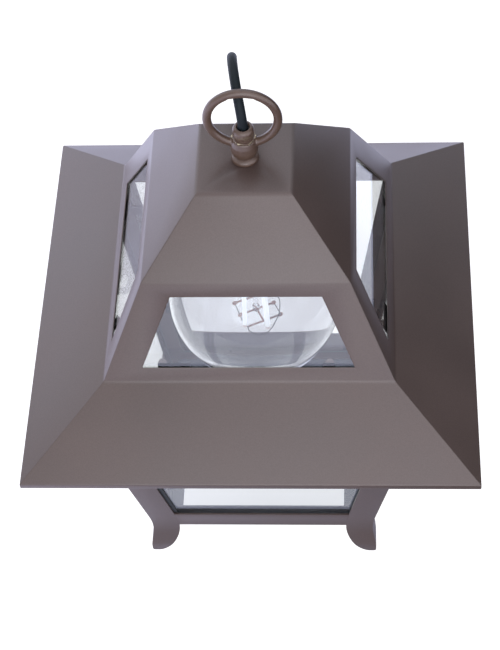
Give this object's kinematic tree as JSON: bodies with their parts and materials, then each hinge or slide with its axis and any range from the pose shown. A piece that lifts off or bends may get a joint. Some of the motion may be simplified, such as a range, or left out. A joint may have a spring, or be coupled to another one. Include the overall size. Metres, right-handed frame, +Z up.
{
  "type": "outdoor hanging lantern",
  "caption": "Square tapered hanging lantern with profile-cut legs, glazed sides, a glazed four-sided roof, a cast hanging loop and a clear globe lamp",
  "frame": {"origin": "Centre of the square that the four feet stand on, at their lowest points, on the axis of the loop, roof and lamp; the free cord behind is left out of that square", "axes": "+Z up, from the feet to the hanging loop; -Y is the front; +X is to the right seen from the front. The loop lies in the XZ plane and the cord leaves towards +Y"},
  "size_m": [0.313, 0.4267, 0.4238],
  "materials": {
    "coat": "satin bronze powder coat",
    "steel": "zinc-plated, satin",
    "brass": "plain, slightly tarnished",
    "glass": "clear",
    "lamp_glass": "clear, thin",
    "rubber": "matt black",
    "cord_sheath": "satin, dark grey",
    "core_sleeve": "plain",
    "porcelain": "glazed white",
    "insulator": "black glass",
    "copper": "copper wire",
    "earth_green": "green enamel",
    "filament": "dark, thin"
  },
  "bodies": {
    "lantern": {"roof_shell": "coat", "roof_brackets": "coat", "roof_thumbscrews": "steel", "roof_pane_front": "glass", "roof_pane_right": "glass", "roof_pane_back": "glass", "roof_pane_left": "glass", "roof_pane_clips": "coat", "roof_pane_pads": "rubber", "leg_front_left": "coat", "leg_front_right": "coat", "leg_back_right": "coat", "leg_back_left": "coat", "rail_front": "coat", "rail_right": "coat", "rail_back": "coat", "rail_left": "coat", "top_frame": "coat", "side_pane_front": "glass", "side_pane_right": "glass", "side_pane_back": "glass", "side_pane_left": "glass", "side_pane_clips": "steel", "glazing_tape": "rubber", "bottom_tray": "coat", "tray_screws": "steel", "loop_collar": "coat", "threaded_nipple": "steel", "star_washer": "steel", "nipple_nuts": "brass", "socket_bracket": "steel", "bracket_screws": "steel", "earth_screw": "earth_green", "socket_body": "porcelain", "socket_shell": "brass", "socket_contact": "brass", "terminal_screws": "brass", "socket_leads": "core_sleeve", "cord_in_hub": "cord_sheath", "supply_cord": "cord_sheath", "cord_coil": "cord_sheath", "cord_tail": "cord_sheath", "cord_cores": "core_sleeve", "core_tips": "copper"},
    "loop": {"hanging_loop": "coat", "cord_grip_nut": "coat", "grip_sleeve": "rubber"},
    "lamp_tip": {"lamp_contact": "steel"},
    "lamp": {"lamp_globe": "lamp_glass", "lamp_shell": "brass", "lamp_insulator": "insulator", "lamp_stem": "lamp_glass", "lamp_supports": "copper", "lamp_filament": "filament"}
  },
  "joints": [
    {"name": "loop_turn", "type": "hinge", "parent": "lantern", "child": "loop", "pos_m": [0, 0, 0.37], "axis": [0, 0, 1], "range_deg": [-45, 45]},
    {"name": "lamp_travel", "type": "slide", "parent": "lantern", "child": "lamp_tip", "axis": [0, 0, -1], "range_m": [0, 0.01815]},
    {"name": "lamp_turn", "type": "hinge", "parent": "lamp_tip", "child": "lamp", "pos_m": [0, 0, 0.31], "axis": [0, 0, -1], "range_deg": [0, 1800]}
  ],
  "couplings": [
    {"joint": "lamp_travel", "follows": "lamp_turn", "m_per_rad": 0.0005776}
  ]
}
